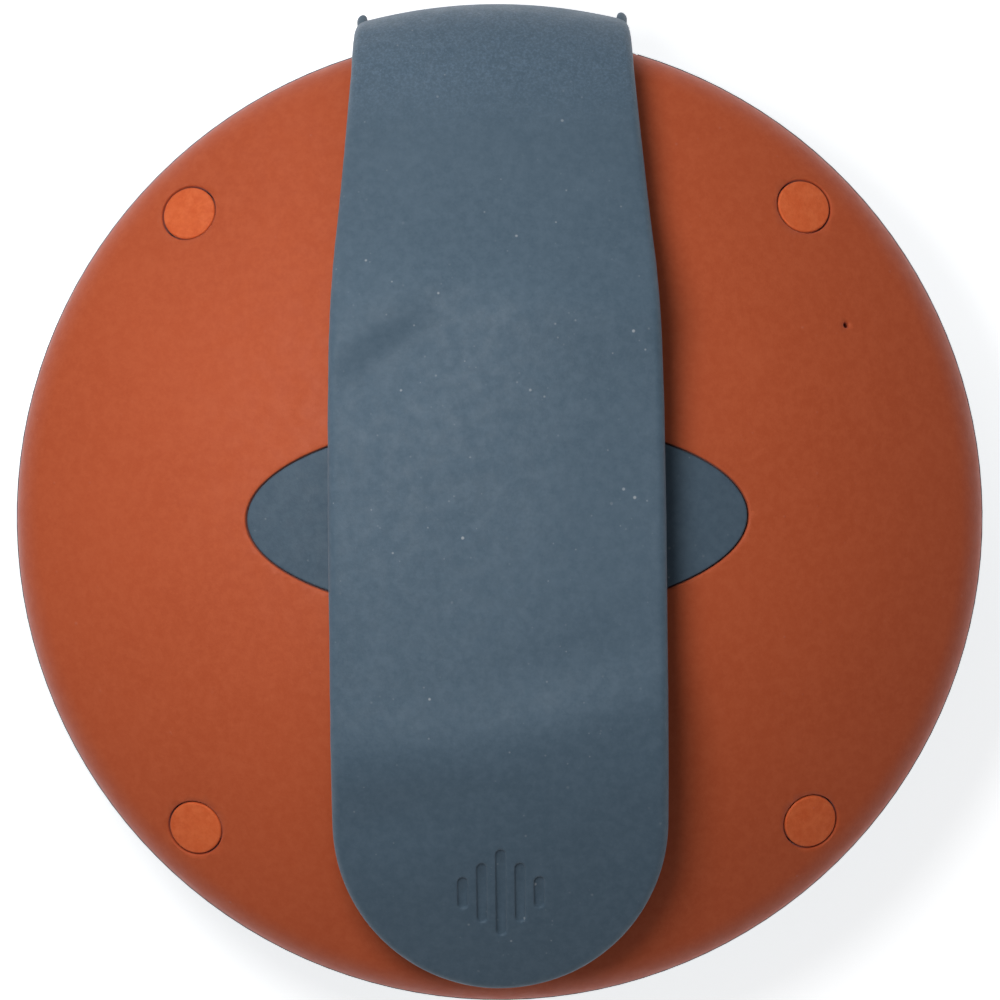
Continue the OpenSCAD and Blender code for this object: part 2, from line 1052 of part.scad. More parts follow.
rear_skin();
rear_housing();
center_pad();
screw_plugs();
case_screws();
case_gasket();
front_housing();
front_skin();
grille();
grille_cloth();
strap_root();
root_spring();
anchor_screws();
clip_strap();
clip_spring();
driver_frame(-1);  // driver_frame_left
driver_frame(1);  // driver_frame_right
top_plate(-1);  // top_plate_left
top_plate(1);  // top_plate_right
magnet(-1);  // magnet_left
magnet(1);  // magnet_right
yoke(-1);  // yoke_left
yoke(1);  // yoke_right
voice_coil(-1);  // voice_coil_left
voice_coil(1);  // voice_coil_right
spider(-1);  // spider_left
spider(1);  // spider_right
cone(-1);  // cone_left
cone(1);  // cone_right
dust_cap(-1);  // dust_cap_left
dust_cap(1);  // dust_cap_right
surround(-1);  // surround_left
surround(1);  // surround_right
driver_screws();
radiator_surround(1);  // radiator_surround_upper
radiator_surround(-1);  // radiator_surround_lower
radiator_plate(1);  // radiator_plate_upper
radiator_plate(-1);  // radiator_plate_lower
battery_cell(-1);  // battery_cell_left
battery_cell(1);  // battery_cell_right
battery_tray();
main_board();
radio_module();
amplifier_chip();
capacitors();
board_screws();
port_board();
usb_socket();
aux_socket();
port_door();
microphone();
button(-2);  // power_button
button(-1);  // pairing_button
button(0);  // play_button
button(1);  // minus_button
button(2);  // plus_button
button_flex();
tact_switches();
internal_leads();
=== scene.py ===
import json
import math
import random

import bmesh
import bpy
import numpy as np
from mathutils import Matrix, Vector, noise


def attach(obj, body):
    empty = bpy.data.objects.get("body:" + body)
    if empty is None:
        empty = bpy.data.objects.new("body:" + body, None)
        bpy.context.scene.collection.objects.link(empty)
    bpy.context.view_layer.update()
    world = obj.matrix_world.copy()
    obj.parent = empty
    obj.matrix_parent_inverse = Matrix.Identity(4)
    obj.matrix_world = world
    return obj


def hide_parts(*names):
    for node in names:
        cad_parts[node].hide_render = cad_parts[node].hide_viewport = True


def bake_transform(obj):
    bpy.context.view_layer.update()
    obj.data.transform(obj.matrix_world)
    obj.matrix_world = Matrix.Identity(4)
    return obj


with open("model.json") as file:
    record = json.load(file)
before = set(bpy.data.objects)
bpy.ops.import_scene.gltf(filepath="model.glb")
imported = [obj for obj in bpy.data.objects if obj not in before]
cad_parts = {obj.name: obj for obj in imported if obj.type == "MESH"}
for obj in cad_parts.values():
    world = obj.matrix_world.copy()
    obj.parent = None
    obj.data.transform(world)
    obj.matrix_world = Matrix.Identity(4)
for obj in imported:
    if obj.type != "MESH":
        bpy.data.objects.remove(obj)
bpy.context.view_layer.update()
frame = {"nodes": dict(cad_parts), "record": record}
MM = 0.001
nodes = frame["nodes"]

# ---------- sizes, in millimetres, as in the CAD model ----------

RIM_R, RIM_Z, CROWN_Z, FILLET = 82.5, 30.0, 55.5, 8.0
DOME_R = ((RIM_R - FILLET) ** 2 + (CROWN_Z - RIM_Z) ** 2 - FILLET ** 2) / (2 * (CROWN_Z - RIM_Z - FILLET))
DOME_EDGE = math.asin((RIM_R - FILLET) / (DOME_R - FILLET))
SKIN_T = 2.2
BOWL_C, BOWL_R, BOWL_Z = 42.8, 40.0, 28.6
STRAP_T, STRAP_HALF = 3.6, 28.0
TAIL_Y = -51.6  # the middle of the round tip
HINGE_S, HINGE_Y, BEND_RUN = 42.6, 78.9, 25
SPRING_FROM, SPRING_TO = 30, 174.7  # along the strap
PATH_STEP = 0.2
# the strap's path from its root: each arc's length, and the degrees it turns by
STRAP_RUN = ((26, 41), (1, 2), (15.6, 64), (42, 8), (8, 14), (68, 9), (9, 18), (41, 10))
STRAP_START = (76.2, 6.9)
STRAP_HEADING = 47
STRAP_SHIFT, STRAP_DROP = -0.4, 0.6
PAD_X, PAD_Y = 42.2, 16.5
PLUG_REACH = 73.8
MIC_AT = (67.0, 28.4)  # its distance from the axis, and its angle from +X
CAP_TOP, CAP_R, CAP_EDGE = 40.3, 3.7, 0.5  # its top is measured from the centre of the side wall's arc


# ---------- materials ----------

# the sockets of a Mix node that mixes colours
MIX_SHARE, MIX_A, MIX_B, MIX_RESULT = 0, 6, 7, 2


class Shader:
    """A principled material made of procedural nodes, in the object's own coordinates."""

    def __init__(self, name, **sockets):
        self.material = bpy.data.materials.new(name)
        self.material.use_nodes = True
        self.tree = self.material.node_tree
        self.bsdf = self.tree.nodes["Principled BSDF"]
        self.place = self.add("ShaderNodeTexCoord").outputs["Object"]
        for key, value in sockets.items():
            self.set(key.replace("_", " ").title().replace("Ior", "IOR"), value)

    def set(self, socket, value):
        self.feed(self.bsdf.inputs[socket], value)

    def feed(self, socket, value):
        if isinstance(value, bpy.types.NodeSocket):
            self.tree.links.new(value, socket)
        else:
            socket.default_value = value

    def add(self, kind, inputs=None, **settings):
        node = self.tree.nodes.new(kind)
        for key, value in settings.items():
            setattr(node, key, value)
        for key, value in (inputs or {}).items():
            self.feed(node.inputs[key], value)
        return node

    def stretched(self, x, y, z):
        """The object's coordinates, scaled along each axis."""
        return self.add("ShaderNodeMapping", {"Vector": self.place, "Scale": (x, y, z)}).outputs["Vector"]

    def noise(self, scale, detail=3.0, rough=0.55, place=None, seed=0.0):
        """Noise from 0 to 1. scale is in cells to the metre."""
        inputs = {"Vector": place or self.place, "Scale": scale,
                  "Detail": detail, "Roughness": rough, "W": seed}
        return self.add("ShaderNodeTexNoise", inputs, noise_dimensions="4D").outputs["Fac"]

    def calc(self, kind, a, b=0.0):
        node = self.add("ShaderNodeMath", operation=kind)
        self.feed(node.inputs[0], a)
        self.feed(node.inputs[1], b)
        return node.outputs[0]

    def span(self, value, low, high, to_low=0.0, to_high=1.0):
        """value eased from the range low..high to the range to_low..to_high, and held at its ends."""
        node = self.add("ShaderNodeMapRange", {"Value": value, "From Min": low, "From Max": high,
                                               "To Min": to_low, "To Max": to_high},
                        interpolation_type="SMOOTHSTEP")
        return node.outputs["Result"]

    def mix(self, share, a, b):
        """The colour a, with a share of the colour b. Either is a socket or three numbers."""
        node = self.add("ShaderNodeMix", data_type="RGBA")
        self.feed(node.inputs[MIX_SHARE], share)
        for socket, value in ((MIX_A, a), (MIX_B, b)):
            self.feed(node.inputs[socket], value if isinstance(value, bpy.types.NodeSocket) else (*value, 1))
        return node.outputs[MIX_RESULT]

    def specks(self, scale, size, share, seed=0.0):
        """Small round specks of uneven strength, on a share of the cells of a Voronoi pattern."""
        node = self.add("ShaderNodeTexVoronoi", {"Vector": self.place, "Scale": scale, "W": seed},
                        voronoi_dimensions="4D")
        chance = self.add("ShaderNodeSeparateColor", {"Color": node.outputs["Color"]})
        picked = self.calc("GREATER_THAN", chance.outputs[0], 1 - share)
        strength = self.calc("MULTIPLY", picked, self.span(chance.outputs[1], 0.3, 1.0, 0.2, 1.0))
        return self.calc("MULTIPLY", strength, self.span(node.outputs["Distance"], size, size * 0.4))

    def bump(self, height, depth, under=None):
        """A normal from a height, depth metres deep, on top of the normal under."""
        inputs = {"Height": height, "Distance": depth, "Strength": 1.0}
        if under is not None:
            inputs["Normal"] = under
        return self.add("ShaderNodeBump", inputs).outputs["Normal"]


def silicone(name, dark, mid, light, grain, lint, rough, sheen, tint, painted_highlight=None):
    """Matte moulded silicone: cloudy colour, mottle, fine grain and specks of lint.

    grain is the depth of the fine bumps in metres, and lint how strongly its pale specks show. The last
    argument is the stretch of Y over which a pale bluish painted highlight, broken up by fine noise, sets in
    towards the top: the sheen of the bent strap, painted into the colour."""
    m = Shader(name, sheen_weight=sheen, sheen_roughness=0.45, sheen_tint=(*tint, 1), specular_ior_level=0.28)
    cloud = m.noise(26, 4, 0.6)
    patches = m.noise(140, 5, 0.65, seed=3)
    fine = m.noise(1900, 2, 0.6, seed=7)
    colour = m.mix(m.span(cloud, 0.35, 0.65), dark, mid)
    colour = m.mix(m.span(patches, 0.5, 0.78, 0, 0.5), colour, light)
    colour = m.mix(m.span(fine, 0.35, 0.75, 0, 0.22), colour, light)
    mottle = m.noise(620, 3, 0.7, seed=19)
    colour = m.mix(m.span(mottle, 0.35, 0.7, 0, 0.6), colour, light)
    # painted highlight: a pale bluish wash, broken up by fine noise, stronger towards the top in Y, for the
    # sheen that the strap's bend catches
    if painted_highlight:
        along = m.add("ShaderNodeSeparateXYZ", {"Vector": m.place}).outputs["Y"]
        painted_highlight_mask = m.span(m.noise(2300, 3, 0.8, seed=23), 0.4, 0.68)
        painted_highlight_mask = m.calc("MULTIPLY", m.span(along, *painted_highlight, 0.12, 1), painted_highlight_mask)
        colour = m.mix(m.calc("MULTIPLY", painted_highlight_mask, 0.22), colour, (0.26, 0.38, 0.54))
    dust = m.specks(520, 0.19, 0.4, seed=1)
    fluff = m.specks(1100, 0.26, 0.3, seed=5)
    dust = m.calc("MAXIMUM", dust, m.calc("MULTIPLY", fluff, 0.5))
    dust = m.calc("MULTIPLY", dust, m.span(m.noise(70, 3, 0.6, seed=9), 0.35, 0.65, 0.15, 1))
    colour = m.mix(m.calc("MULTIPLY", dust, lint), colour, (0.62, 0.64, 0.66))
    m.set("Base Color", colour)
    m.set("Roughness", m.span(m.noise(320, 4, 0.6, seed=11), 0.3, 0.7, *rough))
    normal = m.bump(m.noise(420, 4, 0.6, seed=13), grain * 1.6)
    normal = m.bump(m.noise(2600, 3, 0.7, seed=17), grain, normal)
    m.set("Normal", m.bump(dust, 0.00004, normal))
    return m.material


def plastic(name, dark, light, rough=(0.4, 0.55), grain=0.00002, scale=1800):
    """Moulded plastic with a spark-eroded texture and faint handling marks."""
    m = Shader(name, specular_ior_level=0.5)
    m.set("Base Color", m.mix(m.span(m.noise(90, 5, 0.6), 0.35, 0.7), dark, light))
    m.set("Roughness", m.span(m.noise(240, 4, 0.6, seed=2), 0.3, 0.7, *rough))
    normal = m.bump(m.noise(scale, 3, 0.65, seed=4), grain)
    m.set("Normal", m.bump(m.noise(60, 3, 0.5, seed=6), grain * 2, normal))
    return m.material


def metal(name, dark, light, rough=(0.25, 0.42), brushed=(1, 1, 12)):
    """Bare metal with fine brush lines along one axis and slight tarnish."""
    m = Shader(name, metallic=1.0)
    lines = m.noise(260, 5, 0.7, m.stretched(*brushed), seed=1)
    tarnish = m.noise(110, 4, 0.6, seed=2)
    m.set("Base Color", m.mix(m.span(tarnish, 0.35, 0.7), light, dark))
    m.set("Roughness", m.span(m.calc("ADD", m.calc("MULTIPLY", lines, 0.6), m.calc("MULTIPLY", tarnish, 0.4)),
                              0.3, 0.7, *rough))
    m.set("Normal", m.bump(lines, 0.000012))
    return m.material


def powder_coat(name, dark, light):
    """Powder-coated metal: a hard coat with a fine orange peel."""
    m = Shader(name, specular_ior_level=0.5, coat_weight=0.15, coat_roughness=0.4)
    m.set("Base Color", m.mix(m.span(m.noise(1400, 3, 0.7), 0.35, 0.7), dark, light))
    m.set("Roughness", m.span(m.noise(500, 3, 0.6, seed=1), 0.3, 0.7, 0.42, 0.6))
    m.set("Normal", m.bump(m.noise(1500, 2, 0.5, seed=2), 0.00003))
    return m.material


def woven(name, dark, light, pitch=0.0006):
    """Plain weave: two sets of threads that pass over each other."""
    m = Shader(name, sheen_weight=0.2, sheen_roughness=0.5, specular_ior_level=0.3)
    split = m.add("ShaderNodeSeparateXYZ", {"Vector": m.place})
    turn = math.tau / pitch
    warp = m.calc("SINE", m.calc("MULTIPLY", split.outputs[0], turn))
    weft = m.calc("SINE", m.calc("MULTIPLY", split.outputs[1], turn))
    over = m.calc("MULTIPLY", warp, weft)
    height = m.span(m.calc("ADD", over, m.calc("MULTIPLY", m.noise(5200, 2, 0.6), 0.5)), -1, 1.5)
    m.set("Base Color", m.mix(height, dark, light))
    m.set("Roughness", m.span(m.noise(900, 3, 0.6, seed=3), 0.3, 0.7, 0.75, 0.92))
    m.set("Normal", m.bump(height, 0.0001))
    return m.material


def paper(name, dark, light):
    """Pressed pulp with short fibres."""
    m = Shader(name, specular_ior_level=0.25)
    fibres = m.noise(900, 5, 0.75, m.stretched(1, 3, 1), seed=1)
    m.set("Base Color", m.mix(m.span(fibres, 0.3, 0.7), dark, light))
    m.set("Roughness", m.span(fibres, 0.3, 0.7, 0.7, 0.9))
    m.set("Normal", m.bump(fibres, 0.00008))
    return m.material


def circuit(name, dark, light):
    """Solder mask over copper tracks, with pale pads."""
    m = Shader(name, specular_ior_level=0.6, coat_weight=0.4, coat_roughness=0.2)
    tracks = m.add("ShaderNodeTexBrick", {"Vector": m.place, "Scale": 190.0, "Mortar Size": 0.03,
                                          "Color1": (0, 0, 0, 1), "Color2": (0.25, 0.25, 0.25, 1),
                                          "Mortar": (1, 1, 1, 1)})
    pads = m.specks(420, 0.3, 0.3)
    track = m.add("ShaderNodeSeparateColor", {"Color": tracks.outputs["Color"]}).outputs[0]
    m.set("Base Color", m.mix(pads, m.mix(track, dark, light), (0.62, 0.5, 0.28)))
    m.set("Roughness", m.span(m.noise(300, 3, 0.6), 0.3, 0.7, 0.25, 0.45))
    m.set("Normal", m.bump(tracks.outputs["Fac"], 0.00003))
    return m.material


def wound(name, dark, light):
    """Fine wire wound in turns round the Z axis."""
    pitch = 0.0003
    m = Shader(name, metallic=0.85)
    split = m.add("ShaderNodeSeparateXYZ", {"Vector": m.place})
    turns = m.calc("SINE", m.calc("MULTIPLY", split.outputs[2], math.tau / pitch))
    m.set("Base Color", m.mix(m.span(turns, -1, 1), dark, light))
    m.set("Roughness", m.span(m.noise(700, 3, 0.6), 0.3, 0.7, 0.25, 0.4))
    m.set("Normal", m.bump(turns, 0.00005))
    return m.material


ORANGE = silicone("orange_silicone", (0.45, 0.074, 0.019), (0.47, 0.079, 0.021), (0.52, 0.102, 0.033),
                  grain=0.000028, lint=0.05, rough=(0.56, 0.68), sheen=0.14, tint=(0.9, 0.84, 1))
PLUG = silicone("plug_silicone", (0.63, 0.096, 0.020), (0.71, 0.120, 0.026), (0.78, 0.17, 0.05),
                grain=0.00009, lint=0.1, rough=(0.55, 0.75), sheen=0.12, tint=(1, 0.86, 0.84))
# The strap's silicone, with a painted highlight towards its top, at the bend.
SLATE = silicone("slate_silicone", (0.061, 0.100, 0.138), (0.066, 0.107, 0.147), (0.090, 0.135, 0.180),
                 grain=0.000035, lint=0.5, rough=(0.54, 0.7), sheen=0.16, tint=(0.85, 0.92, 1),
                 painted_highlight=(0.062, 0.077))
# The pad: the strap's silicone made darker, painted shade for the strap's shadow over it.
PAD_PAINTED_SHADE = silicone("pad_silicone_painted_shade", (0.055, 0.089, 0.124), (0.060, 0.096, 0.133), (0.080, 0.122, 0.163),
               grain=0.000035, lint=0.5, rough=(0.54, 0.7), sheen=0.08, tint=(0.85, 0.92, 1))
BUMPER = silicone("slate_rubber", (0.060, 0.098, 0.134), (0.072, 0.114, 0.154), (0.100, 0.144, 0.186),
                  grain=0.00006, lint=0.3, rough=(0.56, 0.72), sheen=0.06, tint=(0.85, 0.92, 1))
KEY = silicone("button_silicone", (0.058, 0.086, 0.112), (0.068, 0.099, 0.128), (0.095, 0.130, 0.160),
               grain=0.00003, lint=0.2, rough=(0.45, 0.6), sheen=0.14, tint=(0.85, 0.92, 1))
HOUSING = plastic("housing_plastic", (0.022, 0.023, 0.025), (0.04, 0.042, 0.045))
FINISH = {
    "rear_skin": ORANGE,
    "plug_silicone": PLUG,
    "slate_silicone": BUMPER,
    "button_plastic": KEY,
    "housing_plastic": HOUSING,
    "chip_plastic": plastic("chip_epoxy", (0.014, 0.014, 0.016), (0.03, 0.03, 0.033), (0.3, 0.5)),
    "lead_insulation": plastic("lead_insulation", (0.32, 0.018, 0.016), (0.48, 0.035, 0.03), (0.3, 0.45)),
    "gasket_rubber": plastic("gasket_rubber", (0.012, 0.012, 0.013), (0.026, 0.026, 0.028), (0.6, 0.8),
                             grain=0.00005),
    "cell_wrap": plastic("cell_wrap", (0.035, 0.19, 0.085), (0.05, 0.27, 0.12), (0.18, 0.32),
                         grain=0.00001, scale=300),
    "ferrite": plastic("ferrite", (0.035, 0.035, 0.038), (0.075, 0.075, 0.08), (0.55, 0.75),
                       grain=0.00005, scale=900),
    "grille_metal": powder_coat("grille_coat", (0.030, 0.042, 0.052), (0.048, 0.064, 0.078)),
    "frame_metal": powder_coat("frame_coat", (0.014, 0.014, 0.015), (0.03, 0.03, 0.032)),
    "acoustic_cloth": woven("acoustic_cloth", (0.006, 0.006, 0.007), (0.03, 0.03, 0.033)),
    "spider_fabric": woven("spider_fabric", (0.36, 0.22, 0.07), (0.66, 0.46, 0.19), pitch=0.0005),
    "cone_paper": paper("cone_paper", (0.012, 0.012, 0.013), (0.045, 0.045, 0.048)),
    "circuit_board": circuit("circuit_board", (0.008, 0.085, 0.035), (0.02, 0.17, 0.07)),
    "coil_wire": wound("coil_wire", (0.42, 0.17, 0.055), (0.72, 0.36, 0.15)),
    "screw_steel": metal("zinc_steel", (0.42, 0.42, 0.44), (0.62, 0.62, 0.63)),
    "spring_steel": metal("spring_steel", (0.36, 0.37, 0.39), (0.56, 0.57, 0.59), (0.2, 0.34),
                          brushed=(1, 10, 1)),
    "plated_steel": metal("nickel_plate", (0.46, 0.45, 0.43), (0.66, 0.65, 0.63), (0.15, 0.3),
                          brushed=(8, 1, 1)),
    "radiator_metal": metal("spun_aluminium", (0.5, 0.51, 0.53), (0.7, 0.71, 0.73), (0.28, 0.42),
                            brushed=(10, 10, 1)),
}


# ---------- mesh helpers ----------

def piece(name, points, faces, material, body=None, sharp=42):
    """A mesh object from points in millimetres. One without a body is attached later, has its placement baked
    in, or is cut with.
    """
    mesh = bpy.data.meshes.new(name)
    mesh.from_pydata([Vector(p) * MM for p in points], [], faces)
    mesh.update()
    clean(mesh)
    obj = bpy.data.objects.new(name, mesh)
    bpy.context.scene.collection.objects.link(obj)
    finish_mesh(obj, material, sharp)
    if body:
        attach(obj, body)
    return obj


def clean(mesh):
    """Joins points that coincide, and turns every face outwards."""
    b = bmesh.new()
    b.from_mesh(mesh)
    bmesh.ops.remove_doubles(b, verts=b.verts, dist=1e-7)
    bmesh.ops.recalc_face_normals(b, faces=b.faces)
    b.to_mesh(mesh)
    b.free()


def finish_mesh(obj, material, sharp):
    """Gives the mesh its material and smooth faces, with sharp edges from an angle of sharp degrees."""
    if material is not None:
        obj.data.materials.clear()
        obj.data.materials.append(material)
    obj.data.polygons.foreach_set("use_smooth", [True] * len(obj.data.polygons))
    obj.data.set_sharp_from_angle(angle=math.radians(sharp))


def bake(obj):
    """Replaces the object's mesh with what its modifiers make of it."""
    seen = obj.evaluated_get(bpy.context.evaluated_depsgraph_get())
    made = bpy.data.meshes.new_from_object(seen)
    obj.modifiers.clear()
    obj.data = made


def carve(obj, cutters):
    """Cuts the cutters, which don't touch each other, out of the object."""
    for cutter in cutters:
        mod = obj.modifiers.new("cut", "BOOLEAN")
        mod.object = cutter
        mod.solver = "EXACT"
    bake(obj)
    for cutter in cutters:
        bpy.data.objects.remove(cutter)


def subdivide(obj):
    """Smooths the mesh by one level of subdivision."""
    mod = obj.modifiers.new("smooth", "SUBSURF")
    mod.levels = mod.render_levels = 1
    bake(obj)


def around(n):
    """n angles, evenly spaced round a circle."""
    return [math.tau * i / n for i in range(n)]


def rings_mesh(rings):
    """Points and faces of closed rings joined in order, with caps. A ring of one point is a pole."""
    points, faces, starts = [], [], []
    for ring in rings:
        starts.append(len(points))
        points.extend(ring)
    for a, b, ring_a, ring_b in zip(starts, starts[1:], rings, rings[1:]):
        n = max(len(ring_a), len(ring_b))
        for i in range(n):
            j = (i + 1) % n
            if len(ring_a) == 1:
                faces.append((a, b + i, b + j))
            elif len(ring_b) == 1:
                faces.append((a + i, b, a + j))
            else:
                faces.append((a + i, b + i, b + j, a + j))
    for start, ring in ((starts[0], rings[0]), (starts[-1], rings[-1])):
        if len(ring) > 1:
            faces.append(tuple(range(start, start + len(ring))))
    return points, faces


def turned(profile, segments, place):
    """A solid of revolution of (radius, height) points. place puts a local point in the frame."""
    rings = []
    for r, h in profile:
        if r < 1e-6:
            rings.append([place(0, 0, h)])
        else:
            rings.append([place(r * math.cos(a), r * math.sin(a), h) for a in around(segments)])
    return rings_mesh(rings)


def arc(cx, cy, r, start, end, steps):
    """Points on an arc, from start to end in degrees."""
    return [(cx + r * math.cos(math.radians(a)), cy + r * math.sin(math.radians(a)))
            for a in np.linspace(start, end, steps + 1)]


def rounding(d, r):
    """How far a rounded edge of radius r falls at the distance d from the outline."""
    return r - math.sqrt(max(r * r - (r - d) ** 2, 0)) if d < r else 0.0


# ---------- rear dome ----------

def dome(x, y, h=0.0):
    """A point h above the dome at the plan position x, y, along the dome's normal."""
    r = math.hypot(x, y)
    angle = math.asin(min(r / DOME_R, 1))
    k = (DOME_R + h) * math.sin(angle) / r if r > 1e-9 else 0
    return (x * k, y * k, CROWN_Z - DOME_R + (DOME_R + h) * math.cos(angle))


def dome_place(reach, turn):
    """Puts a local point in a frame on the dome's surface with Z along its normal."""
    m = (Matrix.Translation((0, 0, CROWN_Z - DOME_R)) @ Matrix.Rotation(math.radians(turn), 4, "Z")
         @ Matrix.Rotation(math.asin(reach / DOME_R), 4, "Y") @ Matrix.Translation((0, 0, DOME_R)))
    return lambda x, y, z: m @ Vector((x, y, z))


def bore_profile(r, lip, depth):
    """A cutter for a hole of radius r whose edge is rounded by lip."""
    sag = (r + lip) ** 2 / (2 * DOME_R) + 0.01
    edge = [(x, z - sag) for x, z in arc(r + lip, -lip, lip, 180, 90, 6)]
    return [(0, -depth), (r, -depth)] + edge + [(r + lip + 0.5, 0.25), (r + lip + 0.5, 3), (0, 3)]


def pad_ring(grow, h, share=1.0):
    """The pad's outline, grown by grow, scaled to a share of its size, and h above the dome."""
    return [dome(STRAP_SHIFT + (PAD_X + grow) * share * math.cos(a), (PAD_Y + grow) * share * math.sin(a), h)
            for a in around(144)]


def back_skin():
    """The orange skin, with round holes for the plugs, an oval one for the pad and a pinhole."""
    edge = math.degrees(DOME_EDGE)
    outer = [(DOME_R * math.sin(a), CROWN_Z - DOME_R + DOME_R * math.cos(a))
             for a in np.linspace(0, DOME_EDGE, 60)]
    outer += arc(RIM_R - FILLET, RIM_Z, FILLET, 90 - edge, 0, 18)[1:]
    outer += [(RIM_R, 29.35), (RIM_R - 0.06, 29.15), (RIM_R - 0.25, 29.0)]
    inner = [(RIM_R - SKIN_T, 29.0)] + arc(RIM_R - FILLET, RIM_Z, FILLET - SKIN_T, 0, 90 - edge, 8)
    inner += [((DOME_R - SKIN_T) * math.sin(a), CROWN_Z - DOME_R + (DOME_R - SKIN_T) * math.cos(a))
              for a in np.linspace(DOME_EDGE, 0, 20)[1:]]
    points, faces = turned(outer + inner, 288, lambda x, y, z: (x, y, z))
    skin = piece("back_skin", points, faces, ORANGE)
    cutters = []
    for i, turn in enumerate((45, 135, 225, 315)):
        points, faces = turned(bore_profile(r=4.85, lip=0.3, depth=4), 64, dome_place(PLUG_REACH, turn))
        cutters.append(piece(f"cutter_{i}", points, faces, None))
    points, faces = turned(bore_profile(r=0.45, lip=0.42, depth=4), 32, dome_place(*MIC_AT))
    cutters.append(piece("cutter_mic", points, faces, None))
    lip = [(0, -4)] + arc(0.3, -0.31, 0.3, 180, 90, 6) + [(0.9, 0.3), (0.9, 3)]
    points, faces = rings_mesh([pad_ring(grow, h) for grow, h in lip])
    cutters.append(piece("cutter_pad", points, faces, None))
    carve(skin, cutters)
    finish_mesh(skin, ORANGE, 50)
    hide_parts("rear_skin")
    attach(skin, "speaker")


def plugs():
    """Four screw plugs: slightly crowned discs with a soft edge, each seated a little differently."""
    rng = random.Random(11)
    flat_r, edge_r, crown_r = 4.25, 0.36, 60
    for name, turn in (("upper_right", 45), ("upper_left", 135), ("lower_left", 225), ("lower_right", 315)):
        sink = rng.uniform(0.02, 0.14)
        tilt = rng.uniform(-0.012, 0.012)
        place = dome_place(PLUG_REACH, turn)
        top = [(r, 0.1 - sink - r * r / (2 * crown_r)) for r in np.linspace(0, flat_r, 14)]
        low = top[-1][1] - edge_r
        profile = top + [(flat_r + x, low + z) for x, z in arc(0, 0, edge_r, 78, 0, 6)]
        profile += [(flat_r + edge_r, -2.0), (0, -2.0)]
        points, faces = turned(profile, 72, lambda x, y, z: place(x, y, z + tilt * x))
        plug = piece(f"plug_{name}", points, faces, PLUG, "speaker")
        if name == "upper_right":
            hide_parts("screw_plugs")


def centre_pad():
    """The oval pad, set just under flush in its hole, with a rounded edge."""
    gap, sink, edge_r = 0.25, 0.02, 0.4
    rings = [[dome(STRAP_SHIFT, 0, -sink)]]
    rings += [pad_ring(-3.4, -sink, share) for share in np.linspace(0.08, 1, 14)[:-1]]
    for d in (3.2, 2.4, 1.8, 1.3, 0.95, 0.7, 0.5, 0.36, 0.24, 0.14, 0.06, 0.0):
        rings.append(pad_ring(-gap - d, -sink - rounding(d, edge_r)))
    rings.append(pad_ring(-gap, -2.1))
    points, faces = rings_mesh(rings)
    # The pad's darker silicone is painted shade from the strap above it.
    pad = piece("centre_pad", points, faces, PAD_PAINTED_SHADE, "speaker")
    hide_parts("center_pad")


# ---------- strap ----------

def strap_path():
    """The strap's middle line in the YZ plane, with its arcs eased into each other.

    It returns the arc length, Y, Z and heading of each point."""
    heading, aims = STRAP_HEADING, []
    for run, turn in STRAP_RUN:
        n = round(run / PATH_STEP)
        aims += [heading + turn * (i + 0.5) / n for i in range(n)]
        heading += turn
    ease, reach = 2.4, 30
    kernel = np.exp(-((np.arange(-reach, reach + 1) * PATH_STEP) / ease) ** 2 / 2)
    padded = np.concatenate([np.full(reach, aims[0]), aims, np.full(reach, aims[-1])])
    aims = np.radians(np.convolve(padded, kernel / kernel.sum(), "valid"))
    s = np.arange(len(aims) + 1) * PATH_STEP
    y = STRAP_START[0] + PATH_STEP * np.concatenate([[0], np.cumsum(np.cos(aims))])
    z = STRAP_START[1] + PATH_STEP * np.concatenate([[0], np.cumsum(np.sin(aims))])
    return s, y, z, np.concatenate([[aims[0]], (aims[1:] + aims[:-1]) / 2, [aims[-1]]])


PATH_S, PATH_Y, PATH_Z, PATH_AIM = strap_path()
BEND = int(np.argmax(PATH_Y))


def s_at(y):
    """Arc length where the upper run of the strap passes y."""
    return float(np.interp(-y, -PATH_Y[BEND:], PATH_S[BEND:]))


def half_width(s):
    """Half the strap's width: slim over its root, then wider down the back."""
    if s < 44:
        return float(np.interp(s, (0, 20, 30, 36, 44), (23.2, 23.25, 23.35, 23.6, 23.85)))
    y = float(np.interp(s, PATH_S, PATH_Y))
    return float(np.interp(-y, (-78, -69.4, -62.6, -55.8, -49.2, -42.5, -35.9, -29.3, -19.4, 0, 51.6),
                           (23.75, 24.4, 24.95, 25.6, 26.25, 26.9, 27.3, 27.6, 27.85, 28.0, 28.0)))


def hill(x, y, cx, cy, wide, long, turn):
    """A smooth bump of height 1, with its long axis turned from +X."""
    a = math.radians(turn)
    u = (x - cx) * math.cos(a) + (y - cy) * math.sin(a)
    v = -(x - cx) * math.sin(a) + (y - cy) * math.cos(a)
    return math.exp(-(u / long) ** 2 - (v / wide) ** 2)


# the strap's waves: height, then the rest as hill takes it: x, y, width, length and turn
WAVES = (
    (-1.2, 8, 52, 9, 70, 0),
    (1.6, 14, 34.5, 6, 24, -6),
    (-0.45, 22, 4, 26, 9, 0),
    (1.0, 14, -33, 6, 22, 12),
    (0.5, -20, -37, 6, 14, 0),
    (-0.5, 14, -24, 6, 14, 16),
    (-0.7, -19, -50, 6, 12, 8),
)


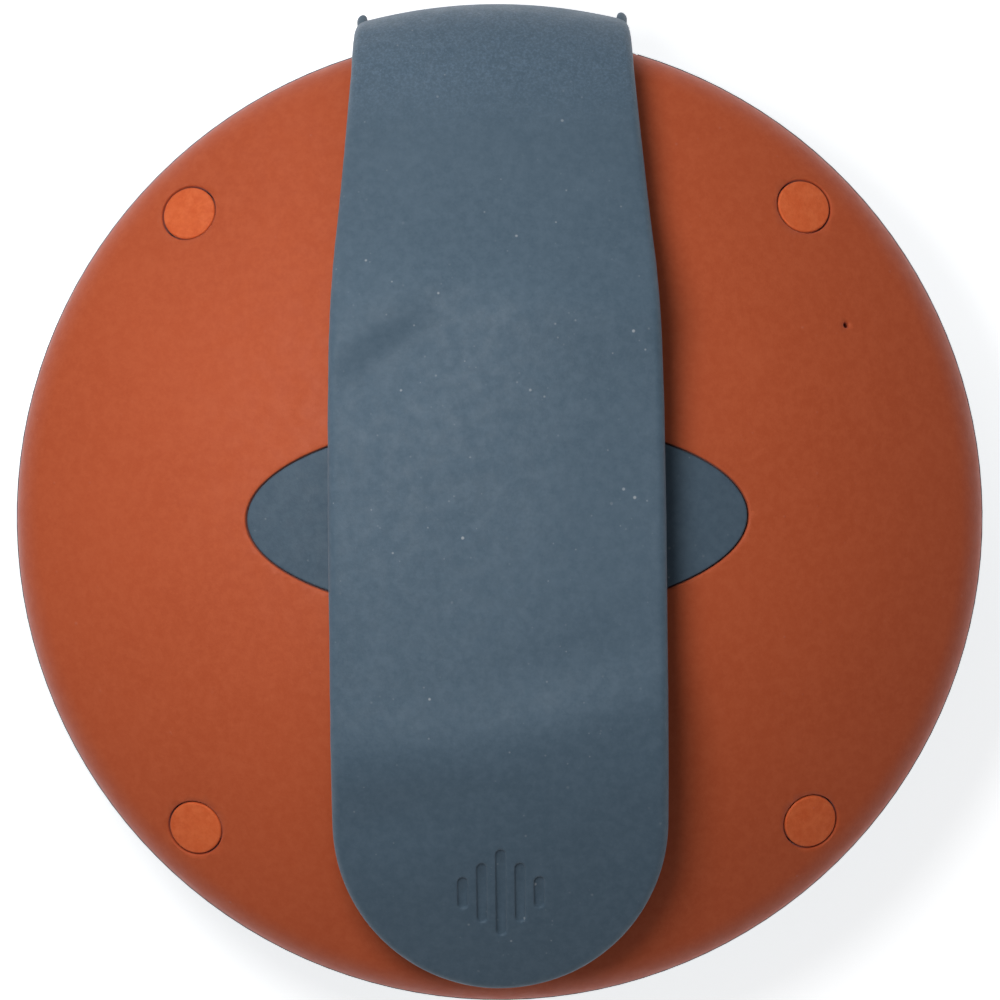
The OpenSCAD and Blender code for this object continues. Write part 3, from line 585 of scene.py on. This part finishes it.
def lift(x, s):
    """How far the strap's middle surface stands out from its path: its crown and its waves."""
    y = float(np.interp(s, PATH_S, PATH_Y))
    crown_r = (87.8, 87.8, 210, 260, 320, 600)
    curve = float(np.interp(s, (0, 38, 60, 120, 170, 210), [1 / r for r in crown_r]))
    out = -curve * x * x / 2
    if s > HINGE_S:
        ease = min((s - HINGE_S) / 14, 1)
        wave = sum(height * hill(x, y, *place) for height, *place in WAVES)
        # a crease near the left edge: a step that falls towards the lower right
        fold = (x + 18.6) * 0.59 - (y - 29.4) * 0.81
        wave += (-1.7 * math.tanh(fold / 3.4) - 1.0) * hill(x, y, -18.6, 30.4, 10, 14, 36)
        wave += 0.18 * noise.noise((x * 0.045, y * 0.045, 3.1))
        wave += 0.06 * noise.noise((x * 0.14, y * 0.14, 7.7))
        out += (wave - STRAP_DROP) * ease
    return out


def strap_point(x, s, h):
    """A point at x across the strap and s along it, h out from its middle surface."""
    aim = float(np.interp(s, PATH_S, PATH_AIM))
    y = float(np.interp(s, PATH_S, PATH_Y))
    z = float(np.interp(s, PATH_S, PATH_Z))
    h += lift(x, s)
    return (x + STRAP_SHIFT, y + h * math.sin(aim), z - h * math.cos(aim))


def strap():
    """One continuous strap, from its root in the side wall over the rim and down to the round tip."""
    edge_r = 1.45
    insets = [0, 0.05, 0.14, 0.28, 0.46, 0.7, 1.0, 1.35, 1.9, 2.8, 4.2, 6.2, 8.6]
    inner, far_in = 12, 99
    row_gap, worn = 1.15, 0.035
    tail_s = s_at(TAIL_Y)
    points, faces, grid = [], [], []
    rng = random.Random(5)

    def across(w):
        """From the edge of a strap of half width w to its middle: x, and the distance from the edge."""
        out = [(w - d, d) for d in insets]
        last = out[-1][0]
        out += [(last * (1 - (i + 1) / inner), far_in) for i in range(inner)]
        return out

    def put(x, s, h):
        points.append(strap_point(x, s, h))
        return len(points) - 1

    thick = STRAP_T / 2
    for s in [*np.arange(0, tail_s, row_gap), tail_s]:
        cols = across(half_width(s))
        wear = worn * rng.uniform(-1, 1)
        full = [(-x, d) for x, d in cols] + [(x, d) for x, d in reversed(cols[:-1])]
        top = [put(x + (wear if d < 0.1 and x < 0 else 0), s, thick - rounding(d, edge_r)) for x, d in full]
        low = [put(x, s, -thick + rounding(d, edge_r)) for x, d in full]
        grid.append((top, low))
    for (top_a, low_a), (top_b, low_b) in zip(grid, grid[1:]):
        for i in range(len(top_a) - 1):
            faces.append((top_a[i], top_a[i + 1], top_b[i + 1], top_b[i]))
            faces.append((low_a[i], low_b[i], low_b[i + 1], low_a[i + 1]))
        faces.append((top_a[0], top_b[0], low_b[0], low_a[0]))
        faces.append((top_a[-1], low_a[-1], low_b[-1], top_b[-1]))
    first_top, first_low = grid[0]
    faces.append(tuple(first_top) + tuple(reversed(first_low)))
    # the round tip: a fan of rows about the middle of the last straight row
    steps = 72
    cols = across(STRAP_HALF)
    last_top, last_low = grid[-1]
    n = len(cols)
    fan_top, fan_low = [last_top[:n]], [last_low[:n]]
    centre_top, centre_low = last_top[n - 1], last_low[n - 1]
    for k in range(1, steps):
        a = math.pi * k / steps
        row_top, row_low = [], []
        for r, d in cols[:-1]:
            x, s = -r * math.cos(a), s_at(TAIL_Y - r * math.sin(a))
            row_top.append(put(x, s, thick - rounding(d, edge_r)))
            row_low.append(put(x, s, -thick + rounding(d, edge_r)))
        fan_top.append(row_top + [centre_top])
        fan_low.append(row_low + [centre_low])
    fan_top.append(list(reversed(last_top[n - 1:])))
    fan_low.append(list(reversed(last_low[n - 1:])))
    for rows, flip in ((fan_top, False), (fan_low, True)):
        for a, b in zip(rows, rows[1:]):
            for i in range(n - 1):
                quad = (a[i], a[i + 1], b[i + 1], b[i]) if i < n - 2 else (a[i], a[i + 1], b[i])
                faces.append(tuple(reversed(quad)) if flip else quad)
    for (ta, la), (tb, lb) in zip(zip(fan_top, fan_low), zip(fan_top[1:], fan_low[1:])):
        faces.append((ta[0], tb[0], lb[0], la[0]))
    obj = piece("clip_band", points, faces, SLATE, sharp=180)
    subdivide(obj)
    carve(obj, level_bars())
    finish_mesh(obj, SLATE, 38)
    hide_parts("clip_strap", "strap_root")
    blend_strap(obj)


def blend_strap(obj):
    """Bakes the placement of a piece of the strap into its mesh."""
    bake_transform(obj)


def spring_leaf():
    """The flat spring inside the strap, which follows the strap's crown and waves."""
    half, thick = 17.0, 0.4
    xs = np.linspace(-half, half, 25)
    rings = []
    for s in np.arange(SPRING_FROM, SPRING_TO, 1.5):
        top = [strap_point(x, s, thick) for x in xs]
        low = [strap_point(x, s, -thick) for x in reversed(xs)]
        rings.append(top + low)
    points, faces = rings_mesh(rings)
    obj = piece("spring_leaf", points, faces, FINISH["spring_steel"])
    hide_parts("root_spring", "clip_spring")
    blend_strap(obj)


def level_bars():
    """Cutters for a debossed mark of five rounded level bars on the strap's tip."""
    mark_y, bar_r, steps = -62.2, 0.85, 14
    half_turn = np.linspace(0, math.pi, 13)
    cutters = []
    levels = [(0.28, 2), (0.28, 0.03), (0.12, -0.05), (0.0, -0.2), (-0.04, -0.42), (-0.2, -0.52)]
    for i, (x, tall) in enumerate(((-6.4, 3.6), (-3.2, 8.4), (0, 13.0), (3.2, 8.4), (6.4, 3.6))):
        rings = []
        top, low = mark_y + tall / 2, mark_y - tall / 2
        for grow, h in levels:
            r = bar_r + grow
            outline = [(x + r * math.cos(a), top + r * math.sin(a)) for a in half_turn]
            outline += [(x - r, top - tall * k / steps) for k in range(1, steps)]
            outline += [(x - r * math.cos(a), low - r * math.sin(a)) for a in half_turn]
            outline += [(x + r, low + tall * k / steps) for k in range(1, steps)]
            rings.append([strap_point(px, s_at(py), STRAP_T / 2 + h) for px, py in outline])
        points, faces = rings_mesh(rings)
        cutters.append(piece(f"bar_{i}", points, faces, None))
    return cutters


def slab(name, us, vs, place, t, edge, material, body):
    """A rectangular pad with rounded edges, t thick. place maps u, v and a height to a point.

    us and vs each hold the low end, the high end and the number of steps between the edges."""
    def fine(lo, hi, n):
        near = [edge * d for d in (0, 0.04, 0.12, 0.25, 0.45, 0.7, 1.0)]
        mid = list(np.linspace(lo + edge, hi - edge, n))[1:-1]
        return [lo + d for d in near] + mid + [hi - d for d in reversed(near)]

    cu, cv = fine(*us), fine(*vs)
    points, faces, grids = [], [], []
    for low in (False, True):
        grid = []
        for v in cv:
            row = []
            for u in cu:
                d = min(u - us[0], us[1] - u, v - vs[0], vs[1] - v)
                points.append(place(u, v, -t if low else -rounding(d, edge)))
                row.append(len(points) - 1)
            grid.append(row)
        for a, b in zip(grid, grid[1:]):
            for i in range(len(a) - 1):
                quad = (a[i], a[i + 1], b[i + 1], b[i])
                faces.append(tuple(reversed(quad)) if low else quad)
        grids.append(grid)
    top, low = grids

    def rim(g):
        right = [r[-1] for r in g[:-1]]
        left = [r[0] for r in reversed(g)][:-1]
        return g[0][:-1] + right + list(reversed(g[-1]))[:-1] + left

    ring_a, ring_b = rim(top), rim(low)
    for i in range(len(ring_a)):
        j = (i + 1) % len(ring_a)
        faces.append((ring_a[i], ring_b[i], ring_b[j], ring_a[j]))
    piece(name, points, faces, material, body)


def bowl(x, z, h=0.0):
    """A point on the tub's side wall at the +Y side, h out from it."""
    drop = math.asin((BOWL_Z - z) / BOWL_R)
    r = BOWL_C + (BOWL_R + h) * math.cos(drop)
    return (x, math.sqrt(r * r - x * x), BOWL_Z - (BOWL_R + h) * math.sin(drop))


def root():
    """What the strap grows out of: a patch of the side wall, and a rib along either edge of the root."""
    slab("root_patch", us=(-24.4, 24.4, 40), vs=(4.6, 28.5, 22), place=bowl, t=1.95, edge=0.45,
         material=BUMPER, body="speaker")
    start, end, rib_x, rib_r = 10, 31, 22.2, 0.95
    for side, name in ((-1, "left"), (1, "right")):
        rings = []
        for s in np.linspace(start, end, 48):
            f = (s - start) / (end - start)
            r = rib_r * math.sqrt(max(1 - abs(2 * f - 1) ** 7, 0)) + 0.02
            out = float(np.interp(s, (start, 18, 24, 27, end), (1.0, 1.7, 2.1, 2.0, 0.6)))
            rings.append([strap_point(side * rib_x + r * 0.9 * math.cos(a), s, out + r * math.sin(a))
                          for a in around(28)])
        points, faces = rings_mesh(rings)
        piece(f"root_rib_{name}", points, faces, BUMPER, "speaker")


# ---------- buttons ----------

def cap_height(q):
    """The height of a cap's crowned top, where q is the distance from its middle, squared."""
    return CAP_TOP - q / 90


def button_place(i):
    """Puts a local point in the frame of a button. i counts them from the middle one."""
    m = (Matrix.Rotation(math.radians(270 + 9 * i), 4, "Z") @ Matrix.Translation((BOWL_C, 0, BOWL_Z))
         @ Matrix.Rotation(math.radians(90 + 22), 4, "Y"))
    return lambda x, y, z: m @ Vector((-y, x, z))


def stroke(outline, rise, place):
    """A raised closed outline on a button's cap, with a softened top edge."""
    def ring(inset, h):
        n = len(outline)
        out = []
        for i in range(n):
            a, b, c = (Vector(outline[k % n]) for k in (i - 1, i, i + 1))
            d1, d2 = (b - a).normalized(), (c - b).normalized()
            normal = Vector((-(d1 + d2).y, (d1 + d2).x))
            normal = normal.normalized() if normal.length > 1e-6 else Vector((-d1.y, d1.x))
            p = b + normal * inset
            out.append(place(p.x, p.y, cap_height(p.length_squared) + h))
        return out

    return rings_mesh([ring(0, -0.3), ring(0, rise - 0.08), ring(0.07, rise)])


def bar(x, y, length, wide, turn=0):
    """A bar with round ends, as an outline."""
    a = math.radians(turn)
    out = []
    for end, base in ((1, -90), (-1, 90)):
        for t in np.linspace(0, 180, 9):
            b = math.radians(base + t)
            u = end * length / 2 + wide / 2 * math.cos(b)
            v = wide / 2 * math.sin(b)
            out.append((x + u * math.cos(a) - v * math.sin(a), y + u * math.sin(a) + v * math.cos(a)))
    return out


def bow(r, wide, start, end):
    """Part of a ring, as an outline."""
    outer = [(r + wide / 2, a) for a in np.linspace(start, end, 28)]
    inner = [(r - wide / 2, a) for a in np.linspace(end, start, 28)]
    return [(q * math.cos(math.radians(a)), q * math.sin(math.radians(a))) for q, a in outer + inner]


def buttons():
    """Five rubber caps in the side wall, each with a raised generic sign."""
    signs = {
        "power": [bow(1.7, 0.45, 120, 420), bar(0, 1.5, 1.5, 0.45, 90)],
        "pairing": [bar(0, 0, 0.1, 0.8), bow(1.4, 0.4, -45, 45), bow(1.4, 0.4, 135, 225),
                    bow(2.3, 0.4, -42, 42), bow(2.3, 0.4, 138, 222)],
        "play": [[(-1.1, 1.5), (-1.1, -1.5), (1.7, 0)]],
        "minus": [bar(0, 0, 2.8, 0.55)],
        "plus": [[(0.28, 0.28), (0.28, 1.6), (-0.28, 1.6), (-0.28, 0.28), (-1.6, 0.28), (-1.6, -0.28),
                  (-0.28, -0.28), (-0.28, -1.6), (0.28, -1.6), (0.28, -0.28), (1.6, -0.28), (1.6, 0.28)]],
    }
    for i, (name, shapes) in enumerate(signs.items()):
        place = button_place(i - 2)
        top = [(r, cap_height(r * r)) for r in np.linspace(0, CAP_R, 10)]
        low = top[-1][1] - CAP_EDGE
        profile = top + [(CAP_R + x, low + z) for x, z in arc(0, 0, CAP_EDGE, 80, 0, 6)]
        # the cap's wall, its flange behind the side wall, and the plunger
        profile += [(4.2, 34.8), (4.75, 34.8), (4.75, 33.8), (1.4, 33.8), (1.4, 31.05), (0, 31.05)]
        points, faces = turned(profile, 56, place)
        for shape in shapes:
            more, extra = stroke(shape, rise=0.18, place=place)
            faces += [tuple(k + len(points) for k in f) for f in extra]
            points += more
        cap = piece(f"{name}_cap", points, faces, KEY, f"{name}_key")
        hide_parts(f"{name}_button")


# ---------- build ----------

back_skin()
plugs()
centre_pad()
strap()
spring_leaf()
root()
buttons()

slot_of = {s["node"]: s["material_slot"] for s in frame["record"]["subparts"]}
for node_name, obj in nodes.items():
    obj.data.materials.clear()
    obj.data.materials.append(FINISH[slot_of[node_name]])


# ---------- floor, light and camera ----------

def floor():
    """A plain pale floor, a little under the rest plane."""
    m = Shader("floor_paper", specular_ior_level=0.2, emission_color=(1, 1, 1, 1), emission_strength=0.72)
    m.set("Base Color", m.mix(m.span(m.noise(3, 4, 0.6), 0.3, 0.7), (0.90, 0.90, 0.90), (0.93, 0.93, 0.93)))
    m.set("Roughness", m.span(m.noise(8, 3, 0.6, seed=1), 0.3, 0.7, 0.75, 0.9))
    m.set("Normal", m.bump(m.noise(700, 3, 0.6, seed=2), 0.00002))
    mesh = bpy.data.meshes.new("floor")
    half, cells, z = 3.0, 24, -0.0002
    row = cells + 1
    points = [((i / cells - 0.5) * 2 * half, (j / cells - 0.5) * 2 * half, z)
              for j in range(row) for i in range(row)]
    corners = [j * row + i for j in range(cells) for i in range(cells)]
    mesh.from_pydata(points, [], [(k, k + 1, k + row + 1, k + row) for k in corners])
    obj = bpy.data.objects.new("floor", mesh)
    obj.data.materials.append(m.material)
    bpy.context.scene.collection.objects.link(obj)


def softbox(name, azimuth, elevation, distance, size, watts):
    """A round area light that faces the origin, which the camera doesn't see. Azimuth is from +X to +Y."""
    light = bpy.data.lights.new(name, "AREA")
    light.shape = "DISK"
    light.size = size
    light.energy = watts
    obj = bpy.data.objects.new(name, light)
    a, e = math.radians(azimuth), math.radians(elevation)
    way = Vector((math.cos(a) * math.cos(e), math.sin(a) * math.cos(e), math.sin(e)))
    obj.location = way * distance
    obj.rotation_mode = "QUATERNION"
    obj.rotation_quaternion = way.to_track_quat("Z", "Y")
    obj.visible_camera = False
    bpy.context.scene.collection.objects.link(obj)


floor()
softbox("key_light", azimuth=142, elevation=74, distance=0.28, size=0.12, watts=0.395)
softbox("back_light", azimuth=114, elevation=28, distance=1.6, size=0.9, watts=4.4)
world = bpy.data.worlds.new("studio")
bpy.context.scene.world = world
world.use_nodes = True
background = world.node_tree.nodes["Background"]
background.inputs["Color"].default_value = (0.93, 0.96, 1.0, 1)
background.inputs["Strength"].default_value = 0.19
bpy.context.scene.view_settings.view_transform = "Standard"

# The camera looks straight down from this far above the rim, where a side of the picture covers this much.
above, wide = 900, 171.16
sensor = 36
camera_data = bpy.data.cameras.new("camera")
camera_data.sensor_width = sensor
camera_data.lens = sensor * above / wide
camera = bpy.data.objects.new("camera", camera_data)
roll = math.radians(-0.6)
aside, down = -0.07, -2.91  # where the speaker's axis is, from the middle of the picture
camera.location = Vector((-(aside * math.cos(roll) - down * math.sin(roll)),
                          -(aside * math.sin(roll) + down * math.cos(roll)), RIM_Z + above)) * MM
camera.rotation_euler = (0, 0, roll)
bpy.context.scene.collection.objects.link(camera)
bpy.context.scene.camera = camera
